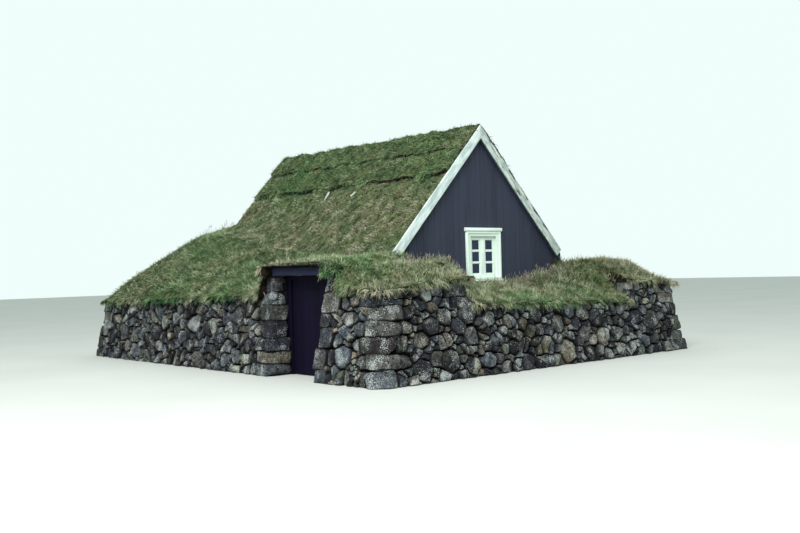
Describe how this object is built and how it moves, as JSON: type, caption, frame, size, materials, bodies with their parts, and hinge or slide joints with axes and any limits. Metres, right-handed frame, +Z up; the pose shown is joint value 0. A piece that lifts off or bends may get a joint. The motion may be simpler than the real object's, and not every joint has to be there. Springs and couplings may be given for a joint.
{
  "type": "turf house",
  "caption": "Small turf house: boarded gable with a window and grass-grown roof between thick rubble walls; a hinged plank door opens into a passage.",
  "frame": {"origin": "on the ground at the middle of the footprint", "axes": "+Z up; the boarded front gable and front wall face -Y; the doorway side faces -X"},
  "size_m": [7.8, 9.8, 4.3621],
  "materials": {
    "rubble_stone": "rough dry-laid basalt rubble with lichen",
    "grass_turf": "grass-grown turf over earth",
    "tarred_boards": "tarred vertical boards",
    "door_boards": "dark tarred planks",
    "weathered_paint": "weathered white paint on timber",
    "window_paint": "white paint on timber",
    "window_glass": "clear sheet glass",
    "forged_iron": "dark forged iron",
    "grey_board": "weathered grey board",
    "roof_timber": "aged rough timber"
  },
  "bodies": {
    "house": {"front_wall_left": "rubble_stone", "front_wall_dip": "rubble_stone", "front_wall_right": "rubble_stone", "right_wall": "rubble_stone", "left_wall": "rubble_stone", "back_wall": "rubble_stone", "door_pier_near": "rubble_stone", "door_pier_far": "rubble_stone", "inner_leaf_left": "rubble_stone", "inner_leaf_right": "rubble_stone", "passage_slabs": "rubble_stone", "lintel": "grey_board", "door_frame": "door_boards", "hinge_pins": "forged_iron", "wall_plate_left": "roof_timber", "wall_plate_right": "roof_timber", "rafters": "roof_timber", "ridge_board": "roof_timber", "roof_boards_left": "roof_timber", "roof_boards_right": "roof_timber", "gable_boards_front": "tarred_boards", "gable_boards_rear": "tarred_boards", "barge_front_left": "weathered_paint", "barge_front_right": "weathered_paint", "barge_rear": "weathered_paint", "window_casing": "window_paint", "window_head": "window_paint", "window_sill": "window_paint", "sash_left": "window_paint", "sash_right": "window_paint", "glass": "window_glass", "roof_turf_left": "grass_turf", "roof_turf_right": "grass_turf", "ridge_sods_lower": "grass_turf", "ridge_sods_upper": "grass_turf", "bank_left": "grass_turf", "bank_right": "grass_turf", "bank_back": "grass_turf", "turf_over_door": "grass_turf", "mound_left": "grass_turf", "terrace_turf": "grass_turf", "mound_right": "grass_turf"},
    "door": {"door_leaf": "door_boards", "door_ledges": "door_boards", "door_strap": "forged_iron", "hinge_straps": "forged_iron"}
  },
  "joints": [
    {"name": "door_hinge", "type": "hinge", "parent": "house", "child": "door", "pos_m": [-3.329, -3.15, 0.8], "axis": [0, 0, -1], "range_deg": [0, 90]}
  ]
}
